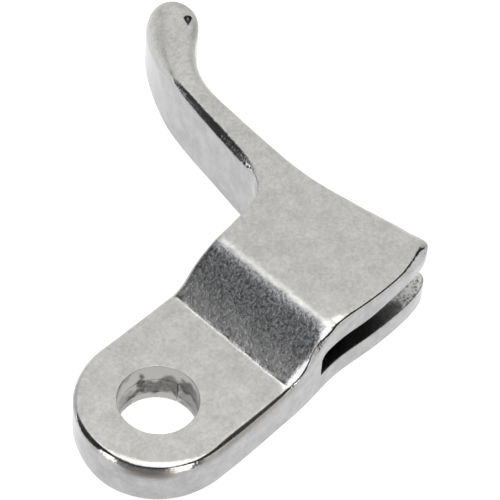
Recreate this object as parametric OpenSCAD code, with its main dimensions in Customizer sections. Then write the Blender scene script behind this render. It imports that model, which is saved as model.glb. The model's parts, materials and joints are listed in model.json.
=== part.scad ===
/* [Pivot eye] */
// Radius of the rounded eye at the pivot end
eye_r = 9.85; // [8.5:0.05:12]
// How far the eye's centre stands from the hole's axis, to the near side
eye_shift = 0.05; // [0:0.05:0.5]
// Thickness of the eye and of the flat arm behind it
arm_t = 6.2; // [5:0.1:8]
// Radius of the pivot hole, the same in the eye's upper land and in the bush
bore_r = 4.75; // [4:0.05:5]
// Depth of that land, from the upper face down to the bush
land_t = 2.6; // [1:0.1:3.5]

/* [Pivot bush] */
// Wall of the rolled bush
bush_wall = 0.6; // [0.5:0.05:1]
// Radial running gap between the bush and the eye
bush_gap = 0.03; // [0.02:0.01:0.08]
// Gap between the bush's upper end and the land
end_gap = 0.05; // [0.02:0.01:0.2]
// Width of the butt joint down one side of the rolled bush
seam_w = 0.15; // [0.1:0.05:0.3]
// Direction of that joint round the bush
seam_angle = 16; // [0:1:359]

/* [Riser] */
// Where the riser starts, measured from the pivot
riser_x = 11.9; // [11:0.1:13]
// Slope of the riser, in degrees
riser_slope = 30; // [26:1:42]
// Radius of the crest where the riser meets the top
crest_r = 4.8; // [3:0.1:6.5]
// Height of the nose and tail, underside to top
nose_t = 10.3; // [9.5:0.1:11]

/* [Nose slot] */
// Thickness of the lower jaw
jaw_t = 3.1; // [2.5:0.1:3.5]
// Height of the slot between the jaws
slot_h = 3.6; // [3:0.1:4]
// Where the slot's end wall stands, measured from the pivot
slot_x = 17.8; // [17:0.1:22]
// Where the slot's back wall stands, on the tail side
slot_y = 5; // [0:0.5:7]
// Radius of the corner between those two walls
slot_corner_r = 2; // [1:0.1:4]

/* [Hidden] */
$fn = 96;
// Length that is sure to pass the whole lever
reach = 100;
// Overshoot of a cut past the face it opens
eps = 0.1;
bush_h = arm_t - land_t - end_gap;

// Points along one cubic curve, leaving out its last point
function curve(a, b, c, d, n = 10) = [for (i = [0 : n - 1])
    let (t = i / n, s = 1 - t)
    s * s * s * a + 3 * s * s * t * b + 3 * s * t * t * c + t * t * t * d];

// Near edge of the arm, its waist beside the riser, and the nose's flank
near_edge = concat(
    [[0, -eye_r - eye_shift], [5, -9.85]],
    curve([11, -9.62], [16, -9.62], [18, -8.85], [21, -8.85]),
    curve([21, -8.85], [23.5, -8.85], [25, -9.22], [28.5, -9.22], 6));

// Rounded corner of the nose and its slanted end face
nose_end = concat(
    curve([28.5, -9.22], [33, -9.22], [36.25, -8.85], [37.2, -7.3]),
    curve([37.2, -7.3], [37.45, -6.6], [37, -5.4], [36.55, -4.4], 6));

// Outer side of the finger tail, out to its round tip
tail_outer = concat(
    curve([34.3, 5.8], [33.8, 8.3], [33.7, 11], [33.85, 14], 6),
    curve([34.62, 24], [34.9, 28], [36.6, 31.2], [39.4, 33.2]),
    curve([39.4, 33.2], [41.45, 34.5], [42.65, 36], [42.6, 37.95], 6));

// Round tip and the inner side of the tail
tail_inner = concat(
    curve([42.6, 37.95], [42.5, 41.15], [39.4, 42.3], [37.2, 39.75], 12),
    curve([37.2, 39.75], [33, 34.9], [31.6, 28.5], [30.55, 21]));

// Crook between tail and arm, and the arm's far edge
far_edge = concat(
    curve([29.3, 14.2], [28.7, 11.5], [26.5, 10.8], [24, 10.55]),
    curve([24, 10.55], [20.5, 10], [19.5, 9.98], [16.5, 9.95]),
    curve([16.5, 9.95], [15, 9.93], [14.5, 9.6], [12, 9.58], 4),
    [[0, eye_r - eye_shift]]);

module outline() {
    polygon(concat(near_edge, nose_end, tail_outer, tail_inner, far_edge));
    translate([0, -eye_shift]) circle(r = eye_r);
}

// Side view of the casting: flat underside, arm, riser and raised top
module side_profile() {
    crest_drop = crest_r * (1 - cos(riser_slope));
    crest_x = riser_x + (nose_t - arm_t - crest_drop) / tan(riser_slope) + crest_r * sin(riser_slope);
    crest = [for (a = [0 : 6 : riser_slope])
        [crest_x - crest_r * sin(a), nose_t - crest_r * (1 - cos(a))]];
    polygon(concat(
        [[-reach, 0], [reach, 0], [reach, nose_t]],
        crest,
        [[riser_x, arm_t], [-reach, arm_t]]));
}

module blank() {
    intersection() {
        linear_extrude(nose_t) outline();
        rotate([90, 0, 0]) linear_extrude(2 * reach, center = true) side_profile();
    }
}

// Space between the jaws, open at the nose's end and on its near side
module slot() {
    translate([0, 0, jaw_t]) linear_extrude(slot_h) {
        translate([slot_x, -reach]) square([reach, reach + slot_y - slot_corner_r]);
        translate([slot_x + slot_corner_r, -reach]) square([reach, reach + slot_y]);
        translate([slot_x + slot_corner_r, slot_y - slot_corner_r]) circle(r = slot_corner_r);
    }
}

module lever() {
    color("silver")
    difference() {
        blank();
        slot();
        translate([0, 0, -eps]) cylinder(r = bore_r, h = arm_t + 2 * eps);
        translate([0, 0, -eps]) cylinder(r = bore_r + bush_wall + bush_gap, h = arm_t - land_t + eps);
    }
}

module pivot_bush() {
    color("gray")
    difference() {
        cylinder(r = bore_r + bush_wall, h = bush_h);
        translate([0, 0, -eps]) cylinder(r = bore_r, h = bush_h + 2 * eps);
        rotate([0, 0, seam_angle]) translate([0, -seam_w / 2, -eps])
            cube([reach, seam_w, bush_h + 2 * eps]);
    }
}

lever();
pivot_bush();
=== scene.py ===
import json
import math

import bmesh
import bpy
import numpy as np
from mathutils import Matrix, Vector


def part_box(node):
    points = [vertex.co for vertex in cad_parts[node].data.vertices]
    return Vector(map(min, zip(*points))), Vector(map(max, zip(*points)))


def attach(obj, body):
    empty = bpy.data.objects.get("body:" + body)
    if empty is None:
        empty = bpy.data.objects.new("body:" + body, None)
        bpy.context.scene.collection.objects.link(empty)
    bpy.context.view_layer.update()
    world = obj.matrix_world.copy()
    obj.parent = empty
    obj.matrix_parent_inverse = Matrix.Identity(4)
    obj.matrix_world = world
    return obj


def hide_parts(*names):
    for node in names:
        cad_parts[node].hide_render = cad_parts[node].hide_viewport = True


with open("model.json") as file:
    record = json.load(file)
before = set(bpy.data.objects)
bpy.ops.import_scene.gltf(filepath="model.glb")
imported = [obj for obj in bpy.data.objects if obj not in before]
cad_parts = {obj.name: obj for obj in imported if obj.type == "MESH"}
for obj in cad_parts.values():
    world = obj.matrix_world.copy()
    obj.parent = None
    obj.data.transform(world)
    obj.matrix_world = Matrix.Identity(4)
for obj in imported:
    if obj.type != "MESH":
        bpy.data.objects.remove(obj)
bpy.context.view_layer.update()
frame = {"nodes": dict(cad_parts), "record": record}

import openvdb
from mathutils import Matrix, Vector

# The looks of a cast cockspur lever and the bush in its eye. Shapes are distance fields, negative
# inside, meshed on a fine grid. Lengths are millimetres until a mesh is written in metres.
MM = 0.001

# Sizes that the frame carries
lever_low, lever_high = (np.array(corner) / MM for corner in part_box("lever"))
bush_high = np.array(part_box("pivot_bush")[1]) / MM
NOSE_T = lever_high[2]
BUSH_H = bush_high[2]
BUSH_R = bush_high[0]
BORE = next(m for m in frame["record"]["mounts"] if m["name"] == "pivot_bore")["dims"]
BORE_R = BORE["r_mm"]
ARM_T = BORE["length_mm"]

# The riser's side view
RISER_X = 11.9
RISER_SLOPE = math.radians(30)
CREST_R = 4.8
FOOT_R = 1.2

# The slot between the jaws
SLOT_LOW = 3.1
SLOT_H = 3.6
SLOT_X = 17.8
SLOT_Y = 5.0
SLOT_CORNER_R = 2.0

# How tumbling and belt polishing left the casting's edges, at spots around the outline. Each row holds
# the spot; the top edge's radius; how many times that radius it is drawn out down the wall; how far down
# the wall a facet reaches (none below zero) and its lean in degrees; how far in the top rolls off and how
# deep; the lower edge's radius.
RIMS = [
    ((-9.8, -1.5), 0.2, 1, 0.9, 31, 1.1, 0.16, 0.6),  # eye
    ((-8.9, -4.2), 0.14, 1, 1.1, 30, 1.35, 0.42, 0.6),
    ((-7.2, -6.8), 0.12, 1, 1.2, 30, 1.25, 0.60, 0.6),
    ((-4.5, -8.9), 0.14, 1, 1.1, 30, 1.35, 0.40, 0.7),
    ((-2, -9.8), 0.2, 1, 0.8, 31, 1.0, 0.10, 0.75),
    ((3, -9.9), 0.45, 1, 0.75, 31, 0.8, 0.04, 0.45),
    ((9, -9.7), 0.35, 1, 0.5, 31, 0.8, 0.04, 0.3),  # arm, near side
    ((11.4, -9.6), 0.15, 1, 0.5, 32, 1.5, 0.20, 0.3),
    ((12.1, -9.6), 0.15, 1, 0.95, 35, 1.3, 0.28, 0.3),
    ((13.4, -9.5), 0.15, 1, 0.35, 33, 1.2, 0.35, 0.3),
    ((15.2, -9.4), 0.15, 1, 0.5, 32, 1.2, 0.32, 0.3),
    ((16.2, -9.3), 0.18, 1, 0.75, 35, 0.7, 0.10, 0.3),
    ((16.9, -9.15), 0.15, 1, 0.9, 37, 0.8, 0.14, 0.3),
    ((18.6, -8.9), 0.15, 1, 0.6, 36, 1.4, 0.30, 0.3),
    ((19.6, -8.9), 0.15, 1, 0.4, 32, 2.2, 0.42, 0.3),
    ((20.6, -8.9), 0.15, 1, 0.7, 31, 1.8, 0.28, 0.3),
    ((22.2, -8.9), 0.15, 1, 0.4, 31, 0.9, 0.08, 0.3),
    ((24, -9), 0.15, 1, 0.3, 31, 0.5, 0.03, 0.25),
    ((31, -9.2), 0.15, 1, 0.4, 31, 0.5, 0.03, 0.25),
    ((34, -9), 0.15, 1, 1.1, 31, 0.5, 0.03, 0.25),
    ((35.3, -8.6), 0.22, 1, 1.4, 31, 0.6, 0.04, 0.3),
    ((36, -8.25), 0.22, 1, 1.1, 31, 0.6, 0.04, 0.35),
    ((36.9, -7.2), 1.4, 1, 0.2, 31, 1.0, 0.05, 0.4),  # nose, corner
    ((36.9, -5.8), 1.7, 1, -0.6, 31, 1.0, 0.05, 0.3),
    ((36.3, -3.4), 1.2, 1, -0.6, 31, 1.0, 0.05, 0.4),
    ((35.4, 1), 1.1, 1, -0.6, 31, 1.0, 0.05, 0.4),
    ((34.3, 5.8), 0.6, 1, -0.6, 31, 1.0, 0.05, 0.4),
    ((33.9, 11), 0.45, 1, -0.6, 31, 1.0, 0.05, 0.4),  # tail, far side
    ((34, 17), 0.7, 1, -0.6, 31, 1.0, 0.05, 0.4),
    ((34.6, 25), 0.7, 1, -0.6, 31, 1.0, 0.05, 0.4),
    ((36, 30), 1.15, 1, -0.6, 31, 1.0, 0.05, 0.5),
    ((40, 33.8), 1.0, 1, -0.6, 31, 1.0, 0.05, 0.8),
    ((42.5, 37), 0.95, 1, -0.6, 31, 1.0, 0.05, 1.0),
    ((42.5, 39.5), 1.4, 1, -0.6, 31, 1.0, 0.05, 1.2),
    ((40.8, 40.9), 2.1, 1.1, -0.6, 31, 1.0, 0.05, 1.5),  # tail, tip
    ((37, 39.5), 2.8, 1.4, -0.6, 31, 1.0, 0.05, 1.8),
    ((34.3, 35.5), 1.7, 1.5, -0.6, 40, 1.0, 0.05, 1.4),
    ((32.7, 31), 0.7, 1.3, -0.3, 38, 1.0, 0.05, 0.45),
    ((32.15, 29.6), 0.25, 1, 0.55, 39, 1.0, 0.05, 0.4),
    ((31.7, 27.5), 0.25, 1, 0.7, 45, 1.0, 0.05, 0.4),
    ((30.5, 21), 0.3, 1, 0.85, 46, 1.0, 0.05, 0.4),
    ((29.8, 16.7), 0.25, 1, 0.85, 45, 1.0, 0.03, 0.3),
    ((29.4, 14.6), 0.2, 1, 0.75, 37, 1.0, 0.03, 0.3),
    ((28.4, 12.3), 0.3, 1.2, -0.5, 40, 1.0, 0.03, 0.3),  # crook
    ((23, 10.4), 0.55, 1, -0.6, 31, 1.0, 0.03, 0.3),
    ((16, 9.9), 0.3, 1, -0.6, 31, 1.0, 0.03, 0.3),
    ((14.6, 9.8), 0.4, 1, -0.6, 31, 1.0, 0.03, 0.3),
    ((13, 9.7), 0.75, 1, -0.6, 31, 1.0, 0.03, 0.3),
    ((11.5, 9.6), 0.5, 1, -0.6, 31, 1.0, 0.03, 0.3),
    ((6, 9.7), 0.6, 1, -0.6, 31, 1.0, 0.03, 0.3),
    ((0, 9.8), 0.55, 1, -0.6, 31, 1.0, 0.03, 0.4),  # eye, far side
    ((-6.5, 7.2), 0.6, 1, -0.6, 31, 1.0, 0.03, 1.2),
    ((-9, 4), 0.4, 1.2, 0.3, 31, 0.8, 0.06, 1.55),
    ((-9.8, 1), 0.3, 1.2, 0.7, 31, 0.8, 0.08, 1.0),
]
FACET_R = 0.12
RIM_SMOOTHING = 12
# The heights between which an edge changes from the lower edge's radius to the top edge's
RIM_LOW, RIM_HIGH = 1.8, 3.4

# The pit's wide end and its narrow end, with their radii
PIT_HEAD, PIT_R = (40.72, 36.1), 0.48
PIT_TAIL, PIT_TAIL_R = (40.0, 35.35), 0.08

BORE_EDGE_R = 0.06
BUSH_GAP = 0.03
# How far the casting's surface waves in and out, and how long the waves are
WAVINESS = 0.01
WAVE_L = 6
VOXEL = 0.24


def smooth_step(value, low, high):
    t = np.clip((value - low) / (high - low), 0, 1)
    return t * t * (3 - 2 * t)


def round_max(a, b, r):
    """What two solids share, with the edge between them rounded to radius r."""
    return np.minimum(np.maximum(a, b), -r) + np.hypot(np.maximum(a + r, 0), np.maximum(b + r, 0))


def cut(solid, tool, r):
    """A solid less a tool, with the new edges rounded to radius r."""
    return round_max(solid, -tool, r)


def ripple(x, y, z, length, seed, waves=7):
    """Smooth random waves of about that length, from -1 to 1, the same on every run."""
    rng = np.random.default_rng(seed)
    total = np.zeros(np.broadcast(x, y, z).shape)
    for _ in range(waves):
        way = rng.normal(size=3)
        way *= 2 * math.pi / (length * rng.uniform(0.7, 1.4) * np.linalg.norm(way))
        total = total + np.sin(way[0] * x + way[1] * y + way[2] * z + rng.uniform(0, 2 * math.pi))
    return total / math.sqrt(waves) / 1.5


def face_outline(node, height):
    """The longest rim of a CAD node's flat face at that height, as an ordered ring of x, y points."""
    mesh = frame["nodes"][node].data
    seen = {}
    for face in mesh.polygons:
        ring = [mesh.vertices[i].co / MM for i in face.vertices]
        if any(abs(p.z - height) > 0.01 for p in ring) or abs(face.normal.z) < 0.9:
            continue
        keys = [(round(p.x, 3), round(p.y, 3)) for p in ring]
        for a, b in zip(keys, keys[1:] + keys[:1]):
            if (b, a) in seen:
                del seen[(b, a)]
            else:
                seen[(a, b)] = True
    following = dict(seen.keys())
    loops = []
    while following:
        start, point = following.popitem()
        loop = [start]
        while point != start:
            loop.append(point)
            point = following.pop(point)
        loops.append(np.array(loop))
    return max(loops, key=lambda loop: np.ptp(loop[:, 0]))


def even_ring(ring, step, softness):
    """The same closed ring with even steps, its facets softened over that length."""
    closed = np.vstack([ring, ring[:1]])
    run = np.concatenate([[0], np.cumsum(np.hypot(*np.diff(closed, axis=0).T))])
    count = int(run[-1] / step)
    at = np.arange(count) * run[-1] / count
    even = np.column_stack([np.interp(at, run, closed[:, k]) for k in range(2)])
    for _ in range(int((softness / step) ** 2)):
        even = even / 2 + (np.roll(even, 1, 0) + np.roll(even, -1, 0)) / 4
    return even


class Outline:
    """Signed distance to a closed outline, looked up in a fine table."""

    def __init__(self, ring, low, high, step=0.1):
        self.low, self.step = np.array(low, float), step
        shape = np.ceil((np.array(high) - self.low) / step).astype(int) + 2
        u = self.low[0] + step * np.arange(shape[0])[:, None]
        v = self.low[1] + step * np.arange(shape[1])[None, :]
        near = np.full(shape, 1e9)
        self.nearest = np.zeros(shape, int)
        inside = np.zeros(shape, bool)
        for k, ((ax, ay), (bx, by)) in enumerate(zip(ring, np.roll(ring, -1, 0))):
            dx, dy = bx - ax, by - ay
            t = np.clip(((u - ax) * dx + (v - ay) * dy) / (dx * dx + dy * dy), 0, 1)
            gap = (u - ax - t * dx) ** 2 + (v - ay - t * dy) ** 2
            self.nearest[gap < near] = k
            near = np.minimum(near, gap)
            if ay != by:
                inside ^= ((ay > v) != (by > v)) & (u < ax + (v - ay) * dx / dy)
        self.table = np.where(inside, -1, 1) * np.sqrt(near)

    def __call__(self, u, v):
        return self.read(self.table, u, v)

    def read(self, table, u, v):
        """A table of this outline's shape, interpolated at those places."""
        i = np.clip((u - self.low[0]) / self.step, 0, table.shape[0] - 1.001)
        j = np.clip((v - self.low[1]) / self.step, 0, table.shape[1] - 1.001)
        i0, j0 = i.astype(int), j.astype(int)
        fi, fj = i - i0, j - j0
        return ((1 - fi) * ((1 - fj) * table[i0, j0] + fj * table[i0, j0 + 1])
                + fi * ((1 - fj) * table[i0 + 1, j0] + fj * table[i0 + 1, j0 + 1]))


def along_ring(ring, spots, values):
    """A value for each point of a closed ring, run smoothly from spot to spot round it."""
    at = [int(np.hypot(*(ring - spot).T).argmin()) for spot in np.array(spots, float)]
    order = np.argsort(at)
    at, values = np.array(at)[order], np.array(values)[order]
    out = np.interp(np.arange(len(ring)), at, values, period=len(ring))
    for _ in range(RIM_SMOOTHING):
        out = out / 2 + (np.roll(out, 1) + np.roll(out, -1)) / 4
    return out


def arc(centre, radius, start, end, count=24):
    """Points along an arc, its angles in radians."""
    angles = np.linspace(start, end, count)
    return np.column_stack([centre[0] + radius * np.cos(angles), centre[1] + radius * np.sin(angles)])


def side_ring():
    """The casting's side view: flat underside, arm, riser with its foot and crest, and flat top."""
    quarter = math.pi / 2
    crest_x = (RISER_X + (NOSE_T - ARM_T - CREST_R * (1 - math.cos(RISER_SLOPE))) / math.tan(RISER_SLOPE)
               + CREST_R * math.sin(RISER_SLOPE))
    foot_x = RISER_X - FOOT_R * math.tan(RISER_SLOPE / 2)
    crest = arc((crest_x, NOSE_T - CREST_R), CREST_R, quarter, quarter + RISER_SLOPE)
    foot = arc((foot_x, ARM_T + FOOT_R), FOOT_R, -quarter + RISER_SLOPE, -quarter)
    far = 80
    return np.vstack([[(-far, 0), (far, 0), (far, NOSE_T)], crest, foot, [(-far, ARM_T)]])


MARGIN = 1.0
ring = even_ring(face_outline("lever", 0), 0.25, 0.6)
PLAN = Outline(ring, lever_low[:2] - MARGIN, lever_high[:2] + MARGIN)
SIDE = Outline(side_ring(), (lever_low[0] - MARGIN, -MARGIN), (lever_high[0] + MARGIN, NOSE_T + MARGIN))
spots = [rim[0] for rim in RIMS]
RIM_TABLES = [along_ring(ring, spots, column)[PLAN.nearest] for column in list(zip(*RIMS))[1:]]


def body_distance(x, y, z):
    """The bare casting: the outline and the side view together, with its edges worn."""
    top, draw, facet, lean, roll, sink, under = (PLAN.read(table, x, y) for table in RIM_TABLES)
    high = smooth_step(z, RIM_LOW, RIM_HIGH)
    plan, side = PLAN(x, y), SIDE(x, z)
    slant = plan * np.cos(np.radians(lean)) + (side + facet) * np.sin(np.radians(lean)) - 2 * (1 - high)
    wall = round_max(plan, slant, FACET_R)
    lid = side / (1 + (draw - 1) * high) + high * sink * np.maximum(1 + plan / roll, 0) ** 2
    return round_max(wall, lid, under + (top - under) * high)


# Dark stains in the hole. Each has its middle and half-width round the axis in degrees, its two heights and
# how strong it is.
STAINS = [(-14, 26, 2.6, 5.1, 1.0), (-8, 20, 0.2, 3.0, 0.5), (26, 12, 1.2, 4.4, 0.8), (20, 5, 1.2, 2.2, 1.0),
          (49, 12, 1.2, 3.4, 0.85), (68, 7, 1.2, 3.8, 1.0), (70, 3, 3.2, 4.8, 1.0), (77, 5, 1.2, 2.3, 0.9),
          (100, 15, 0.2, 3.0, 0.4), (102, 16, 5.5, 6.4, 0.5)]


def bore_stains(around, z):
    """How dark the hole's wall is stained there, 0 to 1."""
    rise = 0.25 * np.sin(np.radians(around * 9)) + 0.15 * np.sin(np.radians(around * 23) + 1)
    drift = 2.5 * np.sin(3.1 * z) + 1.5 * np.sin(7.3 * z + 2)
    dark = np.zeros(np.shape(z))
    for middle, half, low, high, strength in STAINS:
        across = smooth_step(abs(around + drift - middle), half + 2, half - 2)
        up = smooth_step(z + rise, low - 0.3, low + 0.3) * smooth_step(z + rise, high + 0.3, high - 0.3)
        dark = np.maximum(dark, strength * across * up)
    return dark


def slot_distance(x, y, z):
    plan = round_max(SLOT_X - x, y - SLOT_Y, SLOT_CORNER_R)
    height = abs(z - SLOT_LOW - SLOT_H / 2) - SLOT_H / 2
    inner_r = 0.15 + 0.85 * smooth_step(z, SLOT_LOW + 1, SLOT_LOW + SLOT_H - 1)
    return round_max(plan, height, inner_r)


def pit_distance(x, y, z):
    """A small drop-shaped gas pit near the tail's tip."""
    (ax, ay), (bx, by) = PIT_HEAD, PIT_TAIL
    dx, dy = bx - ax, by - ay
    t = np.clip(((x - ax) * dx + (y - ay) * dy) / (dx * dx + dy * dy), 0, 1)
    across = np.hypot(x - ax - t * dx, y - ay - t * dy)
    return np.hypot(across, z - NOSE_T - 0.05) - (PIT_R * (1 - t) + PIT_TAIL_R * t)


def lever_distance(x, y, z):
    body = body_distance(x, y, z)
    upper = smooth_step(z, SLOT_LOW + 1, SLOT_LOW + SLOT_H - 1)
    lip_r = 0.2 + 1.0 * upper * smooth_step(x, 24, 32)
    body = cut(body, slot_distance(x, y, z), lip_r)
    rho = np.hypot(x, y)
    body = cut(body, rho - BORE_R, BORE_EDGE_R)
    seat = np.maximum(rho - BUSH_R - BUSH_GAP, z - BUSH_H - 0.05)
    body = np.maximum(body, -seat)
    body = cut(body, pit_distance(x, y, z), 0.08)
    # The waves only take metal away, so the surface stays inside the CAD box
    return body + WAVINESS * (1.6 + ripple(x, y, z, WAVE_L, seed=4))


def slope(field, points, step=0.08):
    """The field's gradient at each point."""
    out = np.empty_like(points)
    for k in range(3):
        ahead, behind = points.copy(), points.copy()
        ahead[:, k] += step
        behind[:, k] -= step
        out[:, k] = (field(*ahead.T) - field(*behind.T)) / (2 * step)
    return out


def pull(field, points, rounds=3):
    """The points moved along the field's slope onto its surface."""
    for _ in range(rounds):
        g = slope(field, points)
        points = points - g * (field(*points.T) / np.maximum((g * g).sum(1), 0.1))[:, None]
    return points


def vertices_mm(mesh):
    flat = np.empty(3 * len(mesh.vertices))
    mesh.vertices.foreach_get("co", flat)
    return flat.reshape(-1, 3) / MM


def put_vertices_mm(mesh, points):
    mesh.vertices.foreach_set("co", (points * MM).ravel())
    mesh.update()


def add_piece(name, mesh, material):
    piece = bpy.data.objects.new(name, mesh)
    bpy.context.scene.collection.objects.link(piece)
    mesh.materials.append(material)
    return piece


def mesh_from_field(name, field, low, high, voxel):
    """A closed mesh of the surface where the field is zero, finer where that surface turns sharply."""
    low = np.array(low, float) - 3 * voxel
    count = np.ceil((np.array(high) + 3 * voxel - low) / voxel).astype(int)
    axes = [low[k] + voxel * np.arange(count[k]) for k in range(3)]
    values = np.empty(count, np.float32)
    for k, z in enumerate(axes[2]):
        values[:, :, k] = field(*np.broadcast_arrays(axes[0][:, None], axes[1][None, :], z))
    grid = openvdb.FloatGrid(3 * voxel)
    grid.copyFromArray(np.clip(values / voxel, -3, 3))
    points, triangles, quads = grid.convertToPolygons(isovalue=0, adaptivity=0)
    mesh = bpy.data.meshes.new(name)
    points = pull(field, low + voxel * points)
    mesh.from_pydata((points * MM).tolist(), [], quads.tolist() + triangles.tolist())
    for limit in (0.30, 0.24):
        points = vertices_mm(mesh)
        normals = slope(field, points)
        normals /= np.linalg.norm(normals, axis=1)[:, None]
        bm = bmesh.new()
        bm.from_mesh(mesh)
        bm.verts.ensure_lookup_table()
        turns = [e for e in bm.edges
                 if np.dot(normals[e.verts[0].index], normals[e.verts[1].index]) < math.cos(limit)]
        bmesh.ops.subdivide_edges(bm, edges=turns, cuts=1, use_grid_fill=True)
        bm.to_mesh(mesh)
        bm.free()
        put_vertices_mm(mesh, pull(field, vertices_mm(mesh)))
    points = vertices_mm(mesh)
    normals = slope(field, points, 0.03)
    normals /= np.linalg.norm(normals, axis=1)[:, None]
    mesh.shade_smooth()
    mesh.normals_split_custom_set_from_vertices(normals.tolist())
    return mesh, points, normals


def set_mask(mesh, name, values):
    layer = mesh.attributes.new(name, "FLOAT", "POINT")
    layer.data.foreach_set("value", np.clip(values, 0, 1).astype(np.float32))


# Materials. Texture lengths are in millimetres.
def node(tree, kind, inputs=None, **settings):
    """A new shader node. Settings are its properties, inputs its sockets' values or what feeds them."""
    made = tree.nodes.new(kind)
    for key, value in settings.items():
        setattr(made, key, value)
    for key, value in (inputs or {}).items():
        if isinstance(value, bpy.types.NodeSocket):
            tree.links.new(value, made.inputs[key])
        else:
            made.inputs[key].default_value = value
    return made


def place_mm(tree):
    """Object coordinates in millimetres."""
    coords = node(tree, "ShaderNodeTexCoord")
    inputs = {0: coords.outputs["Object"], "Scale": 1 / MM}
    return node(tree, "ShaderNodeVectorMath", inputs, operation="SCALE").outputs[0]


def stretched(tree, place, angle, squeeze):
    """Coordinates turned about Z, then squeezed along their first axis, for marks that run one way."""
    rotation = (0, 0, math.radians(angle))
    turned = node(tree, "ShaderNodeMapping", {"Vector": place, "Rotation": rotation}).outputs[0]
    return node(tree, "ShaderNodeMapping", {"Vector": turned, "Scale": (squeeze, 1, 1)}).outputs[0]


def noise(tree, place, size, detail=2.0, roughness=0.5):
    """Soft noise, 0 to 1, with blobs about that many millimetres across."""
    made = node(tree, "ShaderNodeTexNoise",
                {"Vector": place, "Scale": 1 / size, "Detail": detail, "Roughness": roughness})
    return made.outputs["Fac"]


def span(tree, value, from_low, from_high, to_low=0.0, to_high=1.0):
    made = node(tree, "ShaderNodeMapRange", {"Value": value, "From Min": from_low, "From Max": from_high,
                                             "To Min": to_low, "To Max": to_high})
    return made.outputs[0]


def maths(tree, operation, a, b=0.0):
    return node(tree, "ShaderNodeMath", {0: a, 1: b}, operation=operation).outputs[0]


def blend(tree, share, a, b):
    """Number a where share is 0 and b where it is 1."""
    return node(tree, "ShaderNodeMix", {0: share, 2: a, 3: b}, data_type="FLOAT").outputs[0]


def blend_colour(tree, share, a, b):
    a, b = ((*c, 1) if isinstance(c, tuple) else c for c in (a, b))
    return node(tree, "ShaderNodeMix", {0: share, 6: a, 7: b}, data_type="RGBA").outputs[2]


def mask(tree, name):
    return node(tree, "ShaderNodeAttribute", attribute_name=name).outputs["Fac"]


def bump(tree, height, rise, below=None):
    """A bump whose height 1 stands that many millimetres proud."""
    inputs = {"Height": height, "Distance": rise * MM, "Strength": 1.0}
    if below is not None:
        inputs["Normal"] = below
    return node(tree, "ShaderNodeBump", inputs).outputs[0]


def new_metal(name):
    material = bpy.data.materials.new(name)
    material.use_nodes = True
    tree = material.node_tree
    tree.nodes.clear()
    shader = node(tree, "ShaderNodeBsdfPrincipled", {"Metallic": 1.0})
    node(tree, "ShaderNodeOutputMaterial", {"Surface": shader.outputs[0]})
    return material, tree, shader


def join(tree, shader, socket, value):
    tree.links.new(value, shader.inputs[socket])


# The metal's colours
POLISHED = (0.455, 0.455, 0.46)
POLISHED_DULL = (0.365, 0.365, 0.37)
SATIN = (0.68, 0.675, 0.65)
SATIN_DULL = (0.475, 0.47, 0.45)
RAW = (0.40, 0.405, 0.415)
GRIME = (0.15, 0.15, 0.155)
# A paler raw tone, used towards the riser's foot
PALER_RAW = (0.62, 0.62, 0.62)
# Painted reflection: a dark brownish grey for the walls that face the camera, standing in for the dim studio
# they reflect
PAINTED_REFLECTION_GREY = (0.19, 0.175, 0.165)
STAIN = (0.075, 0.072, 0.07)
CLEAN_BORE = (0.42, 0.415, 0.40)
# Painted shade: near black for the depths of the slot and the gas pit
PAINTED_SHADE_BLACK = (0.005, 0.005, 0.005)
# Painted light: pale metal for the slot's mouth, where light comes in at its open end
PAINTED_LIGHT_METAL = (0.80, 0.795, 0.77)

# The masks that lever_masks puts on the lever's mesh
LEVER_MASKS = ("face", "tip", "band", "raw", "bore", "lit_mouth", "painted_shade", "paler_near_foot", "painted_reflection", "stain")
# Faint polishing lines on the flats: their angle in degrees and their width
POLISHING_LINES = [(25, 0.10), (-40, 0.13), (80, 0.09)]
LINE_DEPTH = 0.002
RELIEF = 0.05


def cast_steel():
    """Satin faces, polished walls, and the raw casting left on the riser and in the slot."""
    material, tree, shader = new_metal("cast_steel")
    place = place_mm(tree)
    masks = {name: mask(tree, name) for name in LEVER_MASKS}
    clouds = noise(tree, place, 2.2, 5, 0.7)
    speckle = noise(tree, place, 0.45, 4, 0.8)
    mottle = blend(tree, 0.55, clouds, speckle)
    grains = noise(tree, place, 0.4, 3, 0.65)
    fine = noise(tree, place, 0.2, 2, 0.6)
    join(tree, shader, "Base Color", steel_colour(tree, place, masks, mottle, grains))
    join(tree, shader, "Roughness", steel_roughness(tree, place, masks, mottle, fine))
    join(tree, shader, "Normal", steel_relief(tree, place, masks, grains, fine))
    return material


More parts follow.
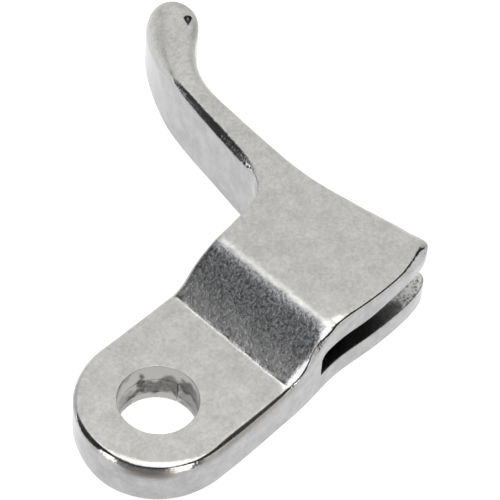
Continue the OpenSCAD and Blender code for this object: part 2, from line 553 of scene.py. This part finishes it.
def steel_colour(tree, place, masks, mottle, grains):
    """Faint clouds on the satin, painted dark reflections on the walls facing the camera, stains, dark grime
    between the raw casting's grains, paler raw metal near the riser's foot, painted light at the slot's
    mouth and painted shade deep in the slot and pit.
    """
    satin = blend_colour(tree, span(tree, mottle, 0.39, 0.61), SATIN_DULL, SATIN)
    broad = noise(tree, place, 2.4, 5, 0.75)
    polished = blend_colour(tree, span(tree, broad, 0.38, 0.62), POLISHED_DULL, POLISHED)
    # Painted reflection darkens the polished walls that face the camera
    polished = blend_colour(tree, masks["painted_reflection"], polished, PAINTED_REFLECTION_GREY)
    clean = blend_colour(tree, masks["face"], polished, satin)
    blots = span(tree, noise(tree, place, 0.8, 4, 0.65), 0.35, 0.6, 0.8, 1)
    patchy = maths(tree, "MULTIPLY", masks["stain"], blots)
    clean = blend_colour(tree, masks["bore"], clean, blend_colour(tree, patchy, CLEAN_BORE, STAIN))
    grimy = blend_colour(tree, span(tree, grains, 0.36, 0.64), GRIME, RAW)
    # The raw metal turns paler towards the riser's foot
    grimy = blend_colour(tree, masks["paler_near_foot"], grimy, PALER_RAW)
    # Painted light at the slot's mouth, broken by dark grime specks
    specks = span(tree, grains, 0.40, 0.52)
    grimy = blend_colour(tree, maths(tree, "MULTIPLY", masks["lit_mouth"], specks), grimy, PAINTED_LIGHT_METAL)
    # Painted shade: near black deep in the slot and in the pit
    grimy = blend_colour(tree, masks["painted_shade"], grimy, PAINTED_SHADE_BLACK)
    return blend_colour(tree, masks["raw"], clean, grimy)


def steel_roughness(tree, place, masks, mottle, fine):
    satin = span(tree, mottle, 0.3, 0.7, 0.36, 0.28)
    satin = blend(tree, masks["tip"], satin, 0.6)
    wall = span(tree, noise(tree, place, 1.2, 3), 0.3, 0.7, 0.13, 0.19)
    wall = blend(tree, masks["bore"], wall, 0.32)
    wall = blend(tree, masks["painted_reflection"], wall, 0.42)
    wall = blend(tree, masks["band"], wall, 0.17)
    raw = span(tree, fine, 0.3, 0.7, 0.28, 0.42)
    return blend(tree, masks["raw"], blend(tree, masks["face"], wall, satin), raw)


def steel_relief(tree, place, masks, grains, fine):
    """Coarse grain on the raw casting, far less on the rest, and polishing lines on the flats."""
    wall = maths(tree, "MULTIPLY", fine, 0.03)
    satin = maths(tree, "MULTIPLY", grains, 0.06)
    height = blend(tree, masks["face"], wall, satin)
    height = blend(tree, masks["tip"], height, maths(tree, "MULTIPLY", grains, 0.8))
    grit = maths(tree, "ADD", maths(tree, "MULTIPLY", grains, 0.6), maths(tree, "MULTIPLY", fine, 0.25))
    height = blend(tree, masks["band"], height, grit)
    height = blend(tree, masks["raw"], height, grains)
    normal = bump(tree, height, RELIEF)
    for angle, width in POLISHING_LINES:
        lines = noise(tree, stretched(tree, place, angle, 0.05), width, 1)
        lines = span(tree, lines, 0.66, 0.74)
        normal = bump(tree, maths(tree, "MULTIPLY", lines, masks["face"]), -LINE_DEPTH, normal)
    return normal


def bush_steel():
    """The bush: a rough dark inside with a burnished lip at its lower end."""
    material, tree, shader = new_metal("bush_steel")
    place = place_mm(tree)
    rough, stain = mask(tree, "raw"), mask(tree, "stain")
    grains = noise(tree, place, 0.5, 4, 0.6)
    patchy = maths(tree, "MULTIPLY", stain, span(tree, grains, 0.35, 0.6, 0.8, 1))
    join(tree, shader, "Base Color", blend_colour(tree, patchy, CLEAN_BORE, STAIN))
    join(tree, shader, "Roughness", blend(tree, rough, span(tree, grains, 0.3, 0.7, 0.25, 0.35), 0.4))
    height = blend(tree, rough, maths(tree, "MULTIPLY", grains, 0.1), grains)
    join(tree, shader, "Normal", bump(tree, height, 0.08))
    return material


# Where along X the painted shade deep in the slot gives way to its mouth, which is painted lighter where
# light comes in at the open end
MOUTH_X = 32
# The way across the part in which the rims stayed satin
SATIN_WAY = (0.755, 0.656)


def riser_mask(x, y, z, tilt):
    """The raw casting on the riser, frayed at its foot and crest and trimmed by wear along the rims."""
    crest_end = side_ring()[3, 0]
    foot_end = side_ring()[-2, 0]
    near_trim = 0.5 * np.exp(-((x - 13.6) / 1.5) ** 4) + 0.5 * np.exp(-((x - 18.8) / 1.1) ** 2)
    trim = 0.35 + np.where(y < 0, near_trim, -0.15)
    frayed = 0.25 * ripple(x, y, z, 1.6, seed=21)
    foot = smooth_step(x + 0.8 * frayed, foot_end + 0.12, foot_end + 0.55)
    crest = smooth_step(x - frayed / 2, crest_end - 0.7, crest_end - 1.4)
    inside = smooth_step(-PLAN(x, y), trim, trim + 0.3)
    return foot * crest * (z > ARM_T - 0.3) * (tilt > 0.3) * inside


def face_mask(x, y, z, normals, matt_tip):
    """The satin: the flats, the tail's tip, the rims turned away and the edge of the bore."""
    tilt = normals[:, 2]
    flats = smooth_step(tilt, 0.93, 0.985)
    turned_away = smooth_step(normals[:, :2] @ SATIN_WAY, 0.0, 0.2) * smooth_step(tilt, 0.2, 0.5)
    bore_edge = smooth_step(np.hypot(x, y), BORE_R + 0.5, BORE_R + 0.3) * smooth_step(tilt, 0.2, 0.4)
    return np.maximum.reduce([flats, matt_tip, turned_away, bore_edge])


def lever_masks(points, normals):
    """How strongly each finish, and each painted reflection, painted shade and painted light, shows at each
    of the lever's vertices.
    """
    x, y, z = points.T
    tilt = normals[:, 2]
    rho = np.hypot(x, y)
    around = np.degrees(np.arctan2(y, x))
    slot_depth = -slot_distance(x, y, z)
    in_slot = smooth_step(slot_depth, -0.12, 0.02)
    in_pit = smooth_step(-pit_distance(x, y, z), -0.08, 0.0)
    matt_tip = smooth_step(y, 27, 33) * smooth_step(tilt, 0.15, 0.5)
    tail_rim = (x < 33) * smooth_step(y, 13.5, 15.5)
    reach = x + 0.5 * ripple(x, y, z, 1.2, seed=6)
    # How much painted shade falls inside the slot: darkest deep in, fading out towards the open end
    dark = 0.68 * smooth_step(reach, MOUTH_X + 0.2, MOUTH_X - 1.5) + 0.32 * smooth_step(reach, 30, 25)
    # Painted reflection: dark patches on the eye's front wall and the arm's near wall, the walls facing the
    # camera; they are also given a rougher finish
    eye_painted_reflection = np.exp(-((around + 141) / 19) ** 4 - ((z - 5.05) / 0.62) ** 2) * (rho > 8)
    arm_painted_reflection = 0.5 * np.exp(-((x - 5) / 7) ** 4 - ((z - 5.6) / 0.8) ** 2) * (y < -9)
    return {
        "face": face_mask(x, y, z, normals, matt_tip),
        "tip": matt_tip,
        "band": tail_rim * smooth_step(tilt, 0.45, 0.6) * smooth_step(tilt, 0.98, 0.93),
        "raw": np.maximum.reduce([riser_mask(x, y, z, tilt), in_slot, in_pit]),
        "bore": smooth_step(rho, BORE_R + 0.12, BORE_R + 0.02) * (rho < BUSH_R),
        # The slot's mouth, painted lighter where light enters at the open end
        "lit_mouth": in_slot * smooth_step(reach, MOUTH_X - 0.4, MOUTH_X + 0.4),
        # Painted shade in the slot's depths and in the gas pit
        "painted_shade": np.maximum(smooth_step(slot_depth, -0.06, -0.01) * dark, 0.75 * in_pit),
        # The raw metal gets paler towards the riser's foot
        "paler_near_foot": smooth_step(x, 16.0, 12.4) * (0.62 + 0.35 * ripple(x, y, z, 0.9, seed=11)),
        "painted_reflection": np.maximum(eye_painted_reflection, arm_painted_reflection),
        "stain": bore_stains(around, z),
    }


def make_lever():
    mesh, points, normals = mesh_from_field("lever_casting", lever_distance, lever_low, lever_high, VOXEL)
    masks = lever_masks(points, normals)
    for name in LEVER_MASKS:
        set_mask(mesh, name, masks[name])
    return mesh


BUSH_EDGE_R = 0.08
BUSH_STEP = 0.1


def bush_profile():
    """The bush's section, radius and height, as a closed ring."""
    inner, outer, r = BORE_R, BUSH_R, BUSH_EDGE_R
    middles = [(inner + r, r), (outer - r, r), (outer - r, BUSH_H - r), (inner + r, BUSH_H - r)]
    starts = np.radians([-180, -90, 0, 90])
    rounds = [arc(middle, r, start, start + math.pi / 2, 5) for middle, start in zip(middles, starts)]
    ring = np.vstack(rounds)
    dense = [ring[0]]
    for a, b in zip(ring, np.roll(ring, -1, 0)):
        steps = max(1, round(np.hypot(*(b - a)) / BUSH_STEP))
        dense += [a + (b - a) * k / steps for k in range(1, steps + 1)]
    return np.array(dense[:-1])


# The bush's butt joint, the burnished lip at its lower end and the dent in its wall
SEAM_ANGLE = 16
SEAM_W = 0.15
LIP_H = 1.2
DENT_ANGLE = 86
DENT_Z = 1.55
DENT_DEPTH = 0.18
BUSH_TURNS = 360


def bush_tube(ring):
    """Points and faces of the ring swept round the axis, from one side of the joint to the other."""
    half = math.degrees(SEAM_W / 2 / BORE_R)
    angles = np.radians(np.linspace(SEAM_ANGLE + half, SEAM_ANGLE + 360 - half, BUSH_TURNS + 1))
    r, h = ring.T
    points = np.stack([np.outer(np.cos(angles), r), np.outer(np.sin(angles), r),
                       np.tile(h, (BUSH_TURNS + 1, 1))], 2)
    m = len(ring)
    faces = [(i * m + j, i * m + (j + 1) % m, (i + 1) * m + (j + 1) % m, (i + 1) * m + j)
             for i in range(BUSH_TURNS) for j in range(m)]
    faces += [tuple(range(m - 1, -1, -1)), tuple(BUSH_TURNS * m + j for j in range(m))]
    return points.reshape(-1, 3), faces


def make_bush():
    points, faces = bush_tube(bush_profile())
    x, y, z = points.T
    rho = np.hypot(x, y)
    around = np.degrees(np.arctan2(y, x))
    inside = smooth_step(rho, BORE_R + 0.05, BORE_R)
    above = smooth_step(z, LIP_H - 0.06, LIP_H + 0.06)
    pitted = 0.03 + 0.03 * ripple(x, y, z, 0.7, seed=9)
    dent = np.exp(-((around - DENT_ANGLE - 9 * (z - 1.5)) / 6) ** 2 - ((z - DENT_Z) / 0.35) ** 2)
    push = inside * (above * pitted + DENT_DEPTH * dent)
    points[:, 0] += push * x / rho
    points[:, 1] += push * y / rho
    mesh = bpy.data.meshes.new("bush_ring")
    mesh.from_pydata((points * MM).tolist(), [], faces)
    mesh.update()
    mesh.shade_smooth()
    set_mask(mesh, "raw", inside * np.maximum(above, dent))
    set_mask(mesh, "stain", np.maximum(bore_stains(around, z), 0.8 * dent))
    return mesh


lever = add_piece("lever_casting", make_lever(), cast_steel())
bush = add_piece("bush_ring", make_bush(), bush_steel())

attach(lever, "lever")
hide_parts("lever")
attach(bush, "bush")
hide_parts("pivot_bush")

# The floor, a wide pale sheet
FLOOR_GREY = (0.3, 0.3, 0.3, 1)
FLOOR_GLOW = 0.92
FLOOR_HALF = 6.0
FLOOR_DROP = 0.00002
floor_material = bpy.data.materials.new("pale_floor")
floor_material.use_nodes = True
paint = floor_material.node_tree.nodes["Principled BSDF"]
paint.inputs["Base Color"].default_value = FLOOR_GREY
paint.inputs["Roughness"].default_value = 1.0
paint.inputs["Specular IOR Level"].default_value = 0.0
paint.inputs["Emission Color"].default_value = (1, 1, 1, 1)
paint.inputs["Emission Strength"].default_value = FLOOR_GLOW
floor_mesh = bpy.data.meshes.new("floor")
corners = [(FLOOR_HALF * a, FLOOR_HALF * b, 0) for a, b in ((-1, -1), (1, -1), (1, 1), (-1, 1))]
floor_mesh.from_pydata(corners, [], [(0, 1, 2, 3)])
floor = add_piece("floor", floor_mesh, floor_material)
floor.location.z = -FLOOR_DROP


def direction(azimuth, elevation):
    a, e = math.radians(azimuth), math.radians(elevation)
    return Vector((math.cos(a) * math.cos(e), math.sin(a) * math.cos(e), math.sin(e)))


LAMP_DISTANCE = 1.2
WARM = (1.0, 0.97, 0.90)
WARMER = (1.0, 0.94, 0.84)


def softbox(name, azimuth, elevation, width, height, radiance, colour=(1, 1, 1)):
    """A rectangular light that faces the object, its width and height in degrees as seen from there."""
    light = bpy.data.lights.new(name, "AREA")
    light.shape = "RECTANGLE"
    light.size = 2 * LAMP_DISTANCE * math.tan(math.radians(width / 2))
    light.size_y = 2 * LAMP_DISTANCE * math.tan(math.radians(height / 2))
    light.energy = radiance * math.pi * light.size * light.size_y
    light.color = colour
    lamp = bpy.data.objects.new(name, light)
    way = direction(azimuth, elevation)
    lamp.location = way * LAMP_DISTANCE
    lamp.rotation_euler = way.to_track_quat("Z", "Y").to_euler()
    lamp.visible_camera = False
    bpy.context.scene.collection.objects.link(lamp)


# A strip overhead that leans towards the camera, two low windows and two small lamps
softbox("overhead", -138.9, 79, 41, 76, 2.4)
softbox("left_low", 121, 7, 16, 13, 3.0)
softbox("right_low", -68, 11, 32, 16, 1.8, WARMER)
softbox("lamp_left", 172, 10, 20, 18, 3.5, WARM)
softbox("lamp_right", -110, 11, 22, 18, 3.5, WARM)

# A pale backdrop behind the object, a wide upright card drawn as light from the world, in a dim studio.
# The camera itself sees plain white behind the object. Angles are in degrees.
BACKDROP_AZ = 46
BACKDROP_TOP = 56
BACKDROP_HALF_W = 72
BACKDROP_GLOW = 0.88
DIM = 0.05
WHITE_GLOW = 1.1
world = bpy.data.worlds.new("studio")
bpy.context.scene.world = world
world.use_nodes = True
tree = world.node_tree
tree.nodes.clear()
coords = node(tree, "ShaderNodeTexCoord")
rotation = (0, 0, math.radians(-BACKDROP_AZ))
turned = node(tree, "ShaderNodeMapping", {"Vector": coords.outputs["Generated"], "Rotation": rotation})
xyz = node(tree, "ShaderNodeSeparateXYZ", {0: turned.outputs[0]})
out = maths(tree, "MAXIMUM", xyz.outputs["X"], 0.001)
aside = maths(tree, "DIVIDE", maths(tree, "ABSOLUTE", xyz.outputs["Y"]), out)
above = maths(tree, "DIVIDE", xyz.outputs["Z"], out)
edge_w, edge_h = math.tan(math.radians(BACKDROP_HALF_W)), math.tan(math.radians(BACKDROP_TOP))
wide = span(tree, aside, edge_w * 1.15, edge_w * 0.85)
high = span(tree, above, edge_h * 1.04, edge_h * 0.96)
glow = span(tree, maths(tree, "MULTIPLY", wide, high), 0, 1, DIM, BACKDROP_GLOW)
path = node(tree, "ShaderNodeLightPath")
strength = blend(tree, path.outputs["Is Camera Ray"], glow, WHITE_GLOW)
sky = node(tree, "ShaderNodeBackground", {"Color": (1, 1, 1, 1), "Strength": strength})
node(tree, "ShaderNodeOutputWorld", {"Surface": sky.outputs[0]})
bpy.context.scene.view_settings.view_transform = "Standard"

# The camera, far off with a long lens. It looks at AIM from AIM + DISTANCE * BACK, tilted by its right side.
AIM = Vector((18.95, 4.32, 13.28)) * MM
DISTANCE = 0.46264
BACK = Vector((-0.4618, -0.4030, 0.7901)).normalized()
RIGHT = Vector((0.6995, -0.7132, 0.0451))
lens = bpy.data.cameras.new("camera")
lens.sensor_width = 36
lens.lens = 288
lens.clip_start = 0.01
lens.clip_end = 50
camera = bpy.data.objects.new("camera", lens)
bpy.context.scene.collection.objects.link(camera)
up = BACK.cross(RIGHT).normalized()
turn = Matrix((up.cross(BACK), up, BACK)).transposed().to_4x4()
turn.translation = AIM + BACK * DISTANCE
camera.matrix_world = turn
bpy.context.scene.camera = camera
